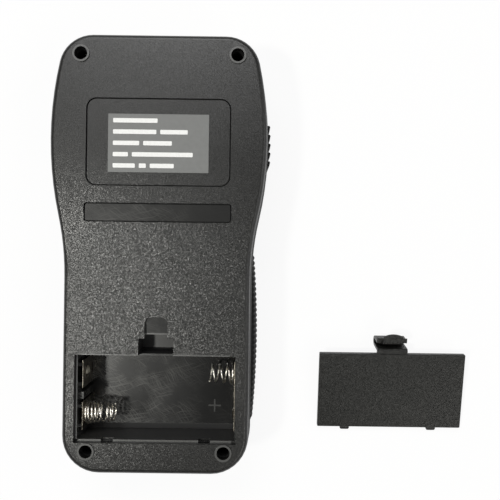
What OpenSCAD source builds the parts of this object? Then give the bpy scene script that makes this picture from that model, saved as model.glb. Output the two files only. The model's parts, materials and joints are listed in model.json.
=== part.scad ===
// Ultrasonic thickness gauge lying on its front, battery bay open, battery door taken off beside it.
// Origin on the front face at the middle of the case; +Z points out of the back, +Y to the probe sockets.

/* [Case] */
// Length at the parting line
case_l = 151.9; // [150:0.1:156]
// Width across the shoulders at the parting line
case_w = 75.9; // [75:0.1:78]
// Width of the lower half at the parting line
foot_w = 65.3; // [64.6:0.1:67]
// Front face to back face
case_t = 32; // [31.5:0.1:34]
// Height of the parting line above the front face
parting_z = 16.5; // [16.2:0.1:17.5]
// Side walls of both shells
wall = 2; // [1.8:0.1:2.2]
// Skin of the back
back_wall = 2.2; // [2:0.1:2.6]
// Skin of the front
front_wall = 2.2; // [2:0.1:2.4]
// How far the sides of the rear shell lean in
draft = 0.7; // [0.4:0.05:1.4]
// Corner radius at the probe end
top_r = 12.55; // [10:0.05:15]
// Corner radius at the battery end
bottom_r = 13.4; // [11:0.1:15]
// Radius of the shoulder curve
shoulder_r = 123; // [110:1:140]
// Radius of the waist curve
waist_r = 95; // [80:1:105]
// Height of the widest line along the case
shoulder_y = 39.8; // [37:0.1:42]
// Rounding of the back edge
back_edge_r = 1.7; // [1:0.1:2.4]
// Rounding of the front edge
front_edge_r = 3; // [2:0.1:3.6]
// Height of the tongue that locates the two shells
lip_h = 1.2; // [0.8:0.1:1.6]
// Thickness of that tongue
lip_t = 0.9; // [0.7:0.05:1]
// Play between moulded parts
fit = 0.15; // [0.1:0.01:0.2]

/* [Case screws] */
// Upper screws to the side of the case
screw_top_side = 11.15; // [10.5:0.05:12]
// Upper screws to the end of the case
screw_top_end = 7.5; // [7:0.1:9]
// Lower screws to the side of the case
screw_foot_side = 9.15; // [8.6:0.05:10]
// Lower screws to the end of the case
screw_foot_end = 8.35; // [7.8:0.05:8.6]
// Diameter of the screw hole in the back
screw_hole_d = 4.5; // [4.3:0.1:4.8]
// Diameter of the raised ring round the hole
screw_rim_d = 5.8; // [5.4:0.1:6]
// Height of the raised ring
screw_rim_h = 0.5; // [0.2:0.05:0.8]
// Diameter of the screw head
screw_head_d = 4.1; // [3.8:0.1:4.2]
// Diameter of the screw shank
screw_d = 2.2; // [2:0.1:2.6]
// Plastic under the screw head
screw_seat = 2.5; // [2:0.1:3]
// Diameter of the screw pillars
boss_d = 7; // [6.4:0.1:7.2]

/* [Back recesses] */
// Width of the label recess
label_bay_w = 49.6; // [46:0.2:52]
// Length of the label recess
label_bay_l = 30.1; // [28:0.1:32]
// Middle of the label recess to the probe end
label_bay_end = 37.55; // [36:0.05:39]
// Depth of the label recess
label_bay_d = 0.3; // [0.25:0.05:1]
// Width of the groove round the label panel and the strip
groove_w = 0.45; // [0.3:0.05:0.6]
// Depth of that groove below the back
groove_d = 1.1; // [0.8:0.05:1.3]
// Corner radius of the label recess
label_bay_r = 3.5; // [2:0.1:5]
// Width of the label
label_w = 34.5; // [30:0.1:44]
// Length of the label
label_l = 20; // [16:0.1:26]
// Thickness of the label
label_t = 0.2; // [0.1:0.05:0.35]
// Width of the polished strip
strip_w = 50.6; // [46:0.2:54]
// Length of the polished strip
strip_l = 6.6; // [5:0.1:8]
// Middle of the polished strip to the probe end
strip_end = 61.65; // [60:0.05:63]
// Depth of the polished strip
strip_d = 0.4; // [0.3:0.05:1.2]

/* [Battery bay] */
// Diameter of one cell
cell_d = 14.5; // [14.3:0.1:14.6]
// Play of the two cells across the bay
cell_play = 0.1; // [0.1:0.1:0.6]
// Length of the bay between its end walls
bay_l = 54.4; // [54:0.1:55]
// Depth of the bay below the back
bay_d = 18.2; // [17.6:0.1:18.6]
// Lower wall of the bay to the end of the case
bay_end = 11.95; // [11.8:0.05:12.2]
// Walls of the bay
bay_wall = 1.3; // [1.1:0.1:1.5]
// Floor of the bay
bay_floor = 1.4; // [1.2:0.1:1.6]
// Chamfer along the long walls of the floor
cove = 1.5; // [0.8:0.1:3]
// Door seat beyond the bay at each end
seat_side = 0.6; // [0.4:0.05:0.9]
// Door seat beyond the lower wall
seat_foot = 0.75; // [0.4:0.05:0.9]
// Door seat beyond the upper wall
seat_head = 0.3; // [0.2:0.05:0.6]
// Depth of the door seat
seat_d = 2.2; // [2:0.1:2.4]

/* [Battery door] */
// Thickness of the door
door_t = 2; // [1.7:0.1:2.1]
// Play of the door in its opening, each side
door_play = 0.2; // [0.1:0.05:0.35]
// Width of the spring latch
latch_w = 11.5; // [10:0.1:12.5]
// Thickness of the spring latch
latch_t = 1.1; // [0.9:0.05:1.3]
// Outer radius of the fold of the latch
latch_fold_r = 1.95; // [1.7:0.05:2.1]
// Depth of the fold below the outside of the door
latch_drop = 9.6; // [8:0.1:10.5]
// Width of the thumb tab
thumb_w = 7.4; // [6.4:0.1:8]
// Reach of the thumb tab past the fold
thumb_reach = 3.1; // [2:0.1:3.6]
// Radius of the rounded end of the thumb tab
thumb_r = 7.5; // [5:0.1:12]
// Hooks to the middle line of the door
hook_x = 16.8; // [14:0.1:18]
// Width of a hook
hook_w = 3.6; // [2.6:0.1:4]
// Reach of a hook past the edge
hook_out = 1.8; // [1.2:0.1:2]
// Lowest side of a hook below the outside of the door
hook_drop = 2.7; // [2.6:0.05:3]
// Thickness of a hook
hook_t = 1.1; // [0.9:0.05:1.2]
// Middle of the loose door across
door_x = 86.3; // [80:0.1:95]
// Lower edge of the loose door along the case
door_y = -66; // [-75:0.5:-45]

/* [Latch slot] */
// Play round the latch
latch_play = 0.25; // [0.15:0.05:0.4]
// Wall between the bay and the latch well
web_t = 0.65; // [0.5:0.05:0.8]
// Room beyond the latch along the case
latch_room = 5.45; // [5.2:0.05:6]
// Undercut behind the edge that holds the latch
catch_l = 1.6; // [1.2:0.1:2]
// Length of the finger scoop
scoop_l = 6; // [4:0.1:8]
// Length of the neck between scoop and slot
neck_l = 1.3; // [0.8:0.1:1.6]
// Depth of the scoop at its lip
scoop_d = 1.5; // [1:0.1:1.8]

/* [Contacts] */
// Thickness of the contact sheet
sheet_t = 0.3; // [0.25:0.05:0.5]
// Gap behind the contacts at the left wall
sheet_gap = 1; // [0.4:0.1:1.3]
// Width of a single contact
contact_w = 9.8; // [9:0.1:12]
// Height of the contacts
contact_h = 13.4; // [10:0.1:14.4]
// Diameter of a positive dimple
dimple_d = 5; // [4:0.1:6]
// Height of a positive dimple
dimple_h = 0.7; // [0.5:0.1:1.2]
// Wire of the springs
wire_d = 0.7; // [0.6:0.02:0.8]
// Length of the spring at the left wall
spring_left_l = 10.6; // [9:0.1:11]
// Length of the spring at the right wall
spring_right_l = 9.4; // [8:0.1:10]
// Diameter of a spring at its base
spring_base_d = 8.6; // [7:0.1:9]
// Diameter of a spring at its tip
spring_tip_d = 6.6; // [5:0.1:7]

/* [Flanks] */
// Lower end of the rubber grips to the end of the case
grip_foot = 14.95; // [14.5:0.05:20]
// Length of the rubber grips
grip_l = 61.8; // [54:0.2:63]
// Height of the rubber grips
grip_h = 11.2; // [10:0.1:12]
// Depth of the seat of a grip
grip_seat = 0.9; // [0.6:0.05:1.1]
// Proud height of a grip at its ends
grip_end = 0.75; // [0.4:0.05:1.5]
// Proud height of a grip at its middle
grip_mid = 2.2; // [1.5:0.05:2.8]
// Rounding of the long edges of a grip
grip_edge = 1.4; // [0.8:0.1:1.8]
// Depth of the knurl
knurl = 0.4; // [0.2:0.05:0.5]
// Pitch of the knurl along the grip
knurl_pitch = 3.2; // [2.6:0.1:4]
// Number of finger ribs on each flank
rib_n = 5; // [3:1:6]
// Pitch of the finger ribs
rib_pitch = 3.25; // [2.5:0.05:3.5]
// Proud height of the finger ribs
rib_out = 0.95; // [0.5:0.05:1.2]
// Lower end of the finger ribs
rib_y0 = 31.6; // [30:0.1:34]
// Height of the finger ribs
rib_h = 10; // [8:0.1:11]

/* [Front] */
// Middle of the display to the probe end
display_end = 39.95; // [39:0.05:41]
// Rim of the display window beyond the view opening, across
window_rim = 4; // [3:0.5:5]
// Length of the display window
window_l = 42; // [40:0.5:43]
// Thickness of the display window
window_t = 1; // [0.8:0.05:1.1]
// View opening to the side of the case
view_side = 12.95; // [12:0.05:15]
// Length of the view opening
view_l = 32; // [28:0.5:33]
// Setback of window, keys and zero block from the front face
setback = 0.25; // [0.15:0.05:0.3]
// Thickness of the display glass
glass_t = 2; // [1.8:0.1:2.2]
// Width of the keypad recess
pad_w = 53; // [52:0.5:55]
// Length of the keypad recess
pad_l = 31; // [29:0.5:32]
// Depth of the keypad recess
pad_d = 0.8; // [0.6:0.05:1]
// Middle of the keypad to the battery end
pad_end = 51.95; // [51:0.05:53]
// Key pitch across
key_px = 17; // [16:0.1:17.4]
// Key pitch along
key_py = 14; // [13.2:0.1:14.6]
// Width of a key
key_w = 12.5; // [11:0.1:13]
// Length of a key
key_l = 8.6; // [7:0.1:9.2]
// Thickness of the flange of a key
key_flange = 0.9; // [0.7:0.05:1]
// Travel of a key
key_travel = 0.5; // [0.3:0.05:0.6]
// Diameter of the plunger under a key
plunger_d = 3.4; // [3:0.1:3.8]
// Running play of a plunger, radial
plunger_play = 0.08; // [0.04:0.01:0.1]
// Diameter of the zero block
zero_d = 18; // [15:0.1:19]
// Thickness of the zero block
zero_t = 4; // [3.9:0.05:4.1]
// Middle of the zero block to the battery end
zero_end = 22.95; // [22:0.05:24]

/* [Electronics] */
// Share of the room under the bay that lies in front of the main board
board_share = 0.7222; // [0.7:0.01:0.74]
// Thickness of the main board
board_t = 1.6; // [1.2:0.1:1.8]
// Gap between the main board and the walls
board_gap = 1.4; // [1:0.1:2]
// Upper edge of the main board to the probe end
board_top_end = 14.95; // [14:0.05:17]
// Lower edge of the main board to the battery end
board_foot_end = 14.95; // [14:0.05:16]
// Share of the room under a key that its switch takes
switch_share = 0.68; // [0.64:0.01:0.72]
// Side of the largest chip
chip_w = 14; // [12:0.5:15]
// Height of the largest chip
chip_h = 1.4; // [1:0.1:1.5]
// Upper board screws to the side of the case
post_top_side = 6.95; // [6.5:0.05:8]
// Upper board screws to the probe end
post_top_end = 28.95; // [28:0.05:30]
// Lower board screws to the side of the case
post_foot_side = 6.15; // [5.8:0.05:6.6]
// Lower board screws to the battery end
post_foot_end = 38.2; // [37:0.05:39]
// Side of a key switch
switch_w = 6; // [5:0.1:6.5]
// Diameter of a board screw
board_screw_d = 2; // [1.6:0.1:2.2]

/* [Probe sockets] */
// Nut across its corners beyond the socket barrel
nut_rim = 4.4; // [4:0.1:5]
// Sockets to the middle line
socket_x = 13; // [12:0.1:14]
// Diameter of the socket barrel
socket_d = 8; // [7.4:0.1:8.4]
// Diameter of the socket collar
collar_d = 10; // [9.4:0.1:10.6]
// Length of the socket collar
collar_l = 3.2; // [2.4:0.1:4]
// Diameter of the probe bore
socket_bore_d = 5; // [4.6:0.1:5.4]
// Depth of the probe bore
socket_bore_l = 7; // [6:0.1:7.4]
// Diameter of the insulator behind the bore
core_d = 3.8; // [3:0.1:4.2]
// Diameter of the centre pin
pin_d = 0.9; // [0.7:0.05:1.1]
// Press of the insulator in the socket
core_fit = 0.02; // [0.01:0.01:0.04]
// Thickness of the socket nut
nut_t = 2.2; // [1.8:0.1:2.4]

/* [Hidden] */
eps = 0.01;

case_grey = "#4d4d4b";
door_grey = "#3a3a39";
rubber_black = "#161616";
metal = "#c9c6bd";

// Plan outline: corner, shoulder, waist and corner arcs, each tangent to the next.
shoulder_c = [case_w / 2 - shoulder_r, shoulder_y];
waist_drop = (case_w - foot_w) / 2;
waist_run = sqrt(2 * waist_drop * (shoulder_r + waist_r) - waist_drop * waist_drop);
waist_c = [foot_w / 2 + waist_r, shoulder_y - waist_run];
top_rise = case_l / 2 - top_r - shoulder_y;
top_c = [shoulder_c.x + sqrt(pow(shoulder_r - top_r, 2) - top_rise * top_rise), case_l / 2 - top_r];
bottom_c = [foot_w / 2 - bottom_r, bottom_r - case_l / 2];
top_a = atan2(top_rise, top_c.x - shoulder_c.x);
waist_a = atan2(-waist_run, waist_c.x - shoulder_c.x);

function arc(c, r, a0, a1, n, first = 0) =
    [for (i = [first:n]) let (a = a0 + (a1 - a0) * i / n) c + r * [cos(a), sin(a)]];
function side(t) = concat(
    arc(top_c, top_r - t, 90, top_a, 9),
    arc(shoulder_c, shoulder_r - t, top_a, waist_a, 10, 1),
    arc(waist_c, waist_r + t, 180 + waist_a, 180, 6, 1),
    arc(bottom_c, bottom_r - t, 0, -90, 9));
function plan(t) = let (s = side(t)) concat(s, [for (i = [len(s) - 1:-1:0]) [-s[i].x, s[i].y]]);
function level(pts, z) = [for (p = pts) [p.x, p.y, z]];
function rounded(w, l, r, n = 5) = [for (q = [0:3], i = [0:n])
    let (a = 90 - 90 * q - 90 * i / n)
    [(q < 2 ? 1 : -1) * (w / 2 - r) + r * cos(a), (q == 0 || q == 3 ? 1 : -1) * (l / 2 - r) + r * sin(a)]];

// Solid through rings of points, lowest ring first, points clockwise seen from above.
module loft(rings) {
    n = len(rings[0]);
    m = len(rings);
    polyhedron(
        points = [for (r = rings) each r],
        faces = concat(
            [[for (i = [n - 1:-1:0]) i]],
            [for (k = [0:m - 2], i = [0:n - 1])
                [k * n + i, k * n + (i + 1) % n, (k + 1) * n + (i + 1) % n, (k + 1) * n + i]],
            [[for (i = [0:n - 1]) (m - 1) * n + i]]));
}

// Rounded block between two heights.
module slab(w, l, r, z0, z1, y = 0, x = 0) {
    translate([x, y, z0])
        linear_extrude(z1 - z0)
            polygon(rounded(w, l, r));
}

// Box between two corners.
module box(a, b) {
    translate(a)
        cube(b - a);
}

// Section in the Y-Z plane drawn out evenly to both sides of the middle line.
module bar(w, pts) {
    rotate([90, 0, 90])
        linear_extrude(w, center = true)
            polygon(pts);
}

// Screw places
screw_top_x = case_w / 2 - screw_top_side;
screw_foot_x = foot_w / 2 - screw_foot_side;
screws = [[screw_top_x, case_l / 2 - screw_top_end], [-screw_top_x, case_l / 2 - screw_top_end],
    [screw_foot_x, screw_foot_end - case_l / 2], [-screw_foot_x, screw_foot_end - case_l / 2]];
// Back recesses
label_bay_y = case_l / 2 - label_bay_end;
strip_y = case_l / 2 - strip_end;
// Battery bay
bay_z = case_t - bay_d;
meet_z = bay_z - bay_floor;
bay_w = 2 * cell_d + cell_play;
bay_y0 = bay_end - case_l / 2;
bay_y1 = bay_y0 + bay_w;
bay_x = bay_l / 2;
cell_low_y = bay_y0 + bay_w / 4;
cell_high_y = bay_y1 - bay_w / 4;
cell_mid_y = (bay_y0 + bay_y1) / 2;
seat_y0 = bay_y0 - seat_foot;
seat_y1 = bay_y1 + seat_head;
seat_x = bay_x + seat_side;
seat_z = case_t - seat_d;
contact_z = bay_z + (bay_d - seat_d) / 2;
// Latch
slot_x = latch_w / 2 + latch_play;
neck_x = thumb_w / 2 + latch_play;
well_y0 = bay_y1 + web_t;
slot_y1 = well_y0 + latch_room;
neck_y1 = slot_y1 + neck_l;
well_z = case_t - latch_drop - latch_play * 2;
// Door, in its own frame: lower edge at the origin, outside at height zero
door_w = 2 * (seat_x - door_play);
door_h = seat_y1 - seat_y0 - 2 * door_play;
arm_v = well_y0 + latch_play - seat_y0 - door_play;
fold_v = arm_v + latch_fold_r;
fold_w = latch_fold_r - latch_drop;
catch_w = -back_wall - fit;
rest_a = fold_w + hook_drop;
rest_b = fold_v + hook_out;
door_tilt = atan2(rest_b, rest_a) - acos(latch_fold_r / norm([rest_a, rest_b]));
door_lift = hook_drop * cos(door_tilt) + hook_out * sin(door_tilt);
// Front and electronics
board_z = (meet_z - board_t) * board_share;
board_back = board_z + board_t;
board_top = case_l / 2 - board_top_end;
board_foot = board_foot_end - case_l / 2;
display_y = case_l / 2 - display_end;
view_w = case_w - 2 * view_side;
window_w = view_w + 2 * window_rim;
pad_y = pad_end - case_l / 2;
zero_y = zero_end - case_l / 2;
keys = [for (r = [0, 1], c = [-1, 0, 1]) [c * key_px, pad_y + (0.5 - r) * key_py]];
flange_z = front_wall + key_flange;
switch_h = (board_z - flange_z) * switch_share;
switch_z = board_z - switch_h;
plunger_in = switch_h * 0.44;
post_top = [case_w / 2 - post_top_side, case_l / 2 - post_top_end];
post_foot = [foot_w / 2 - post_foot_side, post_foot_end - case_l / 2];
posts = [post_top, [-post_top.x, post_top.y], post_foot, [-post_foot.x, post_foot.y]];
post_d = board_screw_d + 2.8;

module rear_skin() {
    outer = concat([level(plan(0), parting_z)],
        [for (i = [0:5]) let (a = 18 * i)
            level(plan(draft + back_edge_r * (1 - cos(a))), case_t - back_edge_r * (1 - sin(a)))]);
    hollow_z = case_t - back_wall;
    difference() {
        loft(outer);
        loft([level(plan(wall), parting_z - 1), level(plan(wall + draft), hollow_z - 1),
            level(plan(wall + draft + 1), hollow_z)]);
        loft([level(plan(wall - lip_t - fit), parting_z - 1),
            level(plan(wall - lip_t - fit), parting_z + lip_h + fit)]);
    }
}

module groove(width, length, radius, y) {
    difference() {
        slab(width, length, radius, case_t - groove_d, case_t + 1, y);
        slab(width - 2 * groove_w, length - 2 * groove_w, radius - groove_w, 0, case_t + 2, y);
    }
}

module rear_shell() {
    rib_d = sheet_gap - eps * 3;
    rib_s = contact_w / 2 - 1.5;
    mark_x = bay_x - 7.7;
    mark_y = cell_low_y + 1.05;
    mark_l = 2.3;
    mark_t = 0.28;
    stop_t = 1.2;
    color(case_grey)
    difference() {
        union() {
            rear_skin();
            box([-bay_x - bay_wall, bay_y0 - bay_wall, meet_z],
                [bay_x + bay_wall, bay_y1 + web_t, case_t - 1]);
            box([-slot_x - bay_wall, bay_y1, well_z - bay_wall],
                [slot_x + bay_wall, neck_y1 + catch_l + bay_wall, case_t - 1]);
            for (s = screws) {
                translate([s.x, s.y, meet_z])
                    cylinder(d = boss_d, h = case_t - 1 - meet_z, $fn = 48);
                translate([s.x, s.y, case_t - 1])
                    cylinder(d = screw_rim_d, h = 1 + screw_rim_h, $fn = 48);
            }
        }
        for (s = screws) {
            translate([s.x, s.y, meet_z + screw_seat])
                cylinder(d = screw_hole_d, h = case_t, $fn = 48);
            translate([s.x, s.y, meet_z - 1])
                cylinder(d = screw_d + 0.4, h = screw_seat + 2, $fn = 48);
        }
        slab(label_bay_w, label_bay_l, label_bay_r, case_t - label_bay_d, case_t + 1, label_bay_y);
        slab(strip_w, strip_l, 1.1, case_t - strip_d, case_t + 1, strip_y);
        groove(label_bay_w, label_bay_l, label_bay_r, label_bay_y);
        groove(strip_w, strip_l, 1.1, strip_y);
        // Bay with chamfered floor edges
        bar(bay_l, [[bay_y0, case_t + 1], [bay_y0, bay_z + cove], [bay_y0 + cove, bay_z],
            [bay_y1 - cove, bay_z], [bay_y1, bay_z + cove], [bay_y1, case_t + 1]]);
        box([-seat_x, seat_y0, seat_z], [seat_x, seat_y1, case_t + 1]);
        // Latch slot, well under the skin, neck and finger scoop
        box([-slot_x, seat_y1 - eps, seat_z], [slot_x, slot_y1, case_t + 1]);
        box([-slot_x, well_y0, well_z], [slot_x, slot_y1, case_t]);
        box([-slot_x, slot_y1 - eps, well_z], [slot_x, neck_y1 + catch_l, case_t - back_wall]);
        box([-neck_x, slot_y1 - eps, well_z], [neck_x, neck_y1, case_t + 1]);
        intersection() {
            slab(2 * neck_x, scoop_l * 2, 2, case_t - 3, case_t + 1, neck_y1);
            bar(2 * neck_x, [[neck_y1 - 1, case_t - scoop_d], [neck_y1 + 1, case_t - scoop_d],
                [neck_y1 + scoop_l + eps, case_t - scoop_d * 0.6], [neck_y1 + scoop_l + eps, case_t + 1],
                [neck_y1 - 1, case_t + 1]]);
        }
        for (m = [-1, 1]) {
            hook_x0 = m * hook_x - hook_w / 2 - latch_play;
            hook_x1 = m * hook_x + hook_w / 2 + latch_play;
            box([hook_x0, seat_y0 - hook_out - door_play, case_t - hook_drop - fit],
                [hook_x1, bay_y0 + eps, case_t - hook_drop + hook_t + fit]);
            box([hook_x0, seat_y0, seat_z - seat_d], [hook_x1, bay_y0 + eps, seat_z + eps]);
        }
        // Tails of the left contacts pass the floor
        for (y = [cell_low_y, cell_high_y]) {
            box([sheet_x - fit, y - 1.5 - fit, meet_z - 1],
                [sheet_x + sheet_t + fit, y + 1.5 + fit, bay_z + eps]);
        }
    }
    color(case_grey) {
        // Standing ribs behind the left contacts and the stop between them
        for (y = [cell_low_y, cell_high_y], m = [-1, 1]) {
            box([-bay_x - eps, y + m * rib_s - 0.5, bay_z - eps],
                [-bay_x + rib_d, y + m * rib_s + 0.5, bay_z + contact_h]);
        }
        box([-bay_x - eps, cell_mid_y - stop_t, bay_z - eps],
            [sheet_x + sheet_t + dimple_h * 0.6, cell_mid_y + stop_t, seat_z - 2]);
        // Raised polarity mark on the floor
        for (m = [[mark_l, mark_t], [mark_t, mark_l]]) {
            box([mark_x - m.x, mark_y - m.y, bay_z - eps], [mark_x + m.x, mark_y + m.y, bay_z + mark_t]);
        }
    }
}

sheet_x = sheet_gap - bay_x;

floor_r = 1.4;

module front_skin() {
    hollow_z = front_wall;
    difference() {
        union() {
            loft(concat([for (i = [0:5]) let (a = 90 - 18 * i)
                level(plan(front_edge_r * (1 - cos(a))), front_edge_r * (1 - sin(a)))],
                [level(plan(0), parting_z)]));
            loft([level(plan(wall - lip_t), parting_z - 1), level(plan(wall - lip_t), parting_z + lip_h)]);
        }
        loft([level(plan(wall + floor_r), hollow_z), level(plan(wall), hollow_z + floor_r),
            level(plan(wall), case_t)]);
    }
}

grip_z = (front_edge_r + parting_z) / 2;
rib_turn = rib_pitch / shoulder_r * 180 / PI;
grip_x = foot_w / 2 - grip_seat;
grip_y0 = grip_foot - case_l / 2;

module front_shell() {
    color(case_grey)
    difference() {
        union() {
            front_skin();
            for (s = screws) {
                translate([s.x, s.y, 1])
                    cylinder(d = boss_d - 0.6, h = meet_z - 1, $fn = 48);
            }
            for (p = posts) {
                translate([p.x, p.y, 1])
                    cylinder(d = post_d, h = board_z - 1, $fn = 48);
            }
            translate([0, zero_y, 1])
                cylinder(d = zero_d + 3, h = setback + zero_t + 0.2, $fn = 72);
            // Finger ribs: steep face to the probe end, long slope to the battery end
            for (m = [0, 1], i = [0:rib_n - 1]) {
                mirror([m, 0, 0])
                    translate([shoulder_c.x, shoulder_c.y, grip_z - rib_h / 2])
                        rotate(asin((rib_y0 - shoulder_y) / shoulder_r) + i * rib_turn)
                            linear_extrude(rib_h)
                                polygon([[shoulder_r - 0.6, 0], [shoulder_r - 0.6, rib_pitch],
                                    [shoulder_r + rib_out - 0.3, rib_pitch - 0.05],
                                    [shoulder_r + rib_out, rib_pitch - 0.5], [shoulder_r + 0.1, 0]]);
            }
        }
        for (s = screws) {
            translate([s.x, s.y, 3.5])
                cylinder(d = screw_d + 2 * plunger_play, h = case_t, $fn = 48);
        }
        for (p = posts) {
            translate([p.x, p.y, 2.4])
                cylinder(d = board_screw_d + 2 * plunger_play, h = case_t, $fn = 48);
        }
        // Seats of the rubber grips
        for (m = [0, 1]) {
            mirror([m, 0, 0])
                box([grip_x, grip_y0, grip_z - grip_h / 2], [case_w, grip_y0 + grip_l, grip_z + grip_h / 2]);
        }
        // Display window seat and view opening
        slab(window_w + 2 * fit, window_l + 2 * fit, 3, -1, setback + window_t, display_y);
        slab(view_w, view_l, 1.5, -1, front_wall + 1, display_y);
        // Keypad recess and key openings
        slab(pad_w, pad_l, 3.5, -1, pad_d, pad_y);
        for (k = keys) {
            slab(key_w + 2 * fit, key_l + 2 * fit, 2.2, -1, front_wall + 1, k.y, k.x);
        }
        // Zero block pocket
        translate([0, zero_y, -1])
            cylinder(d = zero_d + 2 * plunger_play, h = 1 + setback + zero_t, $fn = 72);
        // Socket holes through the end wall
        for (m = [-1, 1]) {
            translate([m * socket_x, case_l / 2 + 1, socket_z])
                rotate([90, 0, 0])
                    cylinder(d = socket_d + 2 * plunger_play, h = wall + 4, $fn = 48);
        }
    }
}

module case_screws() {
    head_z = meet_z + screw_seat;
    color("#3c3d3f")
    for (s = screws) {
        translate([s.x, s.y, head_z])
            difference() {
                union() {
                    cylinder(d = screw_head_d, h = 1.6, $fn = 48);
                    translate([0, 0, 4.2 - head_z])
                        cylinder(d = screw_d, h = head_z - 4.2 + eps, $fn = 48);
                }
                for (a = [0, 90]) {
                    rotate(a)
                        box([-1.3, -0.35, 0.7], [1.3, 0.35, 2]);
                }
            }
    }
}

module door_body() {
    // Plate with softened outer edge
    translate([0, door_h / 2, 0])
        loft([level(rounded(door_w, door_h, 0.4), -door_t), level(rounded(door_w, door_h, 0.4), -0.3),
            level(rounded(door_w - 0.15, door_h - 0.15, 0.35), -0.1),
            level(rounded(door_w - 0.5, door_h - 0.5, 0.3), 0)]);
    // Folded spring latch
    inner_r = latch_fold_r - latch_t;
    tip_v = fold_v + latch_fold_r;
    bar(latch_w, concat(
        [[door_h - 0.6, -door_t], [door_h - 0.6, -0.5], [arm_v + latch_t - 0.6, -0.5],
            [arm_v + latch_t, -1.1]],
        arc([fold_v, fold_w], inner_r, 180, 360, 8),
        [[fold_v + inner_r, catch_w], [tip_v + 0.9, catch_w], [tip_v, catch_w - 1.2]],
        arc([fold_v, fold_w], latch_fold_r, 0, -180, 10),
        [[arm_v, -door_t]]));
    // Thumb tab
    intersection() {
        bar(thumb_w, [[fold_v + inner_r, catch_w - 0.6], [fold_v + inner_r, -0.9],
            [fold_v + inner_r + 0.5, -0.2], [tip_v + thumb_reach, 0], [tip_v + thumb_reach, -0.7],
            [tip_v + 0.3, -1.0], [tip_v, catch_w - 0.6]]);
        translate([0, tip_v + thumb_reach - thumb_r, -latch_drop])
            cylinder(r = thumb_r, h = latch_drop * 2, $fn = 96);
    }
    // Hooks at the lower edge
    for (m = [-1, 1]) {
        slab(hook_w, hook_out + 2, 0.7, -hook_drop, hook_t - hook_drop, 1 - hook_out / 2, m * hook_x);
    }
}

module battery_door() {
    color(door_grey)
    translate([door_x, door_y, door_lift])
        rotate([door_tilt, 0, 0])
            door_body();
}

// Rubber pad: outer face bowed along the case, cut crosswise into a diamond knurl.
module grip_pad() {
    cu = grip_l - 2 * fit;
    cv = grip_h - 2 * fit;
    sag = grip_mid - grip_end;
    bow_r = (cu * cu / 4 + sag * sag) / (2 * sag);
    top = grip_seat + grip_mid;
    n = floor(cu / knurl_pitch / 2);
    translate([grip_x, grip_y0 + fit + cu / 2, grip_z])
        difference() {
            intersection() {
                rotate([90, 0, 0])
                    linear_extrude(cu, center = true)
                        polygon([[0, -cv / 2], [0, cv / 2], [top - grip_edge, cv / 2],
                            [top - grip_edge * 0.2, cv / 2 - grip_edge * 0.57],
                            [top + grip_edge, cv / 2 - grip_edge * 0.7],
                            [top + grip_edge, grip_edge * 0.7 - cv / 2],
                            [top - grip_edge * 0.2, grip_edge * 0.57 - cv / 2], [top - grip_edge, -cv / 2]]);
                translate([top - bow_r, 0, -cv])
                    cylinder(r = bow_r, h = 2 * cv, $fn = 200);
            }
            for (m = [-1, 1], i = [-n:n]) {
                translate([top - bow_r, 0, 0])
                    rotate(asin(i * knurl_pitch / bow_r))
                        translate([bow_r, 0, 0])
                            rotate([m * 45, 0, 0])
                                rotate([90, 0, 0])
                                    linear_extrude(3 * cv, center = true)
                                        polygon(knurl * [[-1, 0], [1.5, 2], [1.5, -2]]);
            }
        }
}

module grip_right() {
    color(rubber_black)
    grip_pad();
}

module grip_left() {
    color(rubber_black)
    mirror([1, 0, 0])
        grip_pad();
}

module rating_label() {
    color("#8a8b8a")
    slab(label_w, label_l, 0.15, case_t - label_bay_d, case_t - label_bay_d + label_t, label_bay_y - 0.4);
}

// Sheet against the left wall with a tail through the floor.
module left_sheet(y) {
    box([sheet_x, y - contact_w / 2, bay_z], [sheet_x + sheet_t, y + contact_w / 2, bay_z + contact_h]);
    box([sheet_x, y - 1.5, board_back], [sheet_x + sheet_t, y + 1.5, bay_z + eps]);
}

// Dimple of a positive contact, pointing along +X.
module dimple(x, y, turn) {
    translate([x, y, contact_z])
        rotate([0, turn, 0])
            rotate_extrude($fn = 48)
                polygon([[0, -0.1], [dimple_d / 2, -0.1], [dimple_d / 2, 0], [dimple_d / 2 * 0.62, dimple_h],
                    [0, dimple_h]]);
}

module contact_positive() {
    color(metal) {
        left_sheet(cell_high_y);
        dimple(sheet_x + sheet_t, cell_high_y, 90);
    }
}

module contact_negative() {
    color(metal)
    left_sheet(cell_low_y);
}

bridge_x = bay_x - sheet_t;

module contact_bridge() {
    color(metal) {
        box([bridge_x, cell_low_y - contact_w / 2, bay_z],
            [bay_x, cell_high_y + contact_w / 2, bay_z + contact_h]);
        dimple(bridge_x, cell_low_y, -90);
    }
}

// Wound spring along +X: two close turns at the base, then open turns narrowing to the tip.
module coil(len_x, turns) {
    wire_r = wire_d / 2;
    steps = 14;
    sides = 8;
    n = round((turns + 2) * steps);
    base_x = 2 * wire_d * 1.06;
    function along(t) = t < 2 ? base_x * t / 2 : base_x + (len_x - wire_d - base_x) * (t - 2) / turns;
    cone = spring_tip_d - spring_base_d;
    function rad(t) = (spring_base_d + cone * min(1, t / (turns + 1)) - wire_d) / 2;
    rings = [for (i = [0:n]) let (t = i / steps, a = 360 * t)
        [for (k = [0:sides - 1]) let (b = -360 * k / sides, r = rad(t) + wire_r * cos(b))
            [wire_r + along(t) + wire_r * sin(b), r * cos(a), r * sin(a)]]];
    loft([for (r = rings) [for (k = [sides - 1:-1:0]) r[k]]]);
}

module spring_negative() {
    color(metal)
    translate([sheet_x + sheet_t, cell_low_y, contact_z])
        coil(spring_left_l, 4);
}

module spring_bridge() {
    color(metal)
    translate([bridge_x, cell_high_y, contact_z])
        rotate([0, 0, 180])
            coil(spring_right_l, 3);
}

module display_window() {
    color("#9fb0b4")
    slab(window_w, window_l, 3 - fit, setback, setback + window_t, display_y);
}

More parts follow.
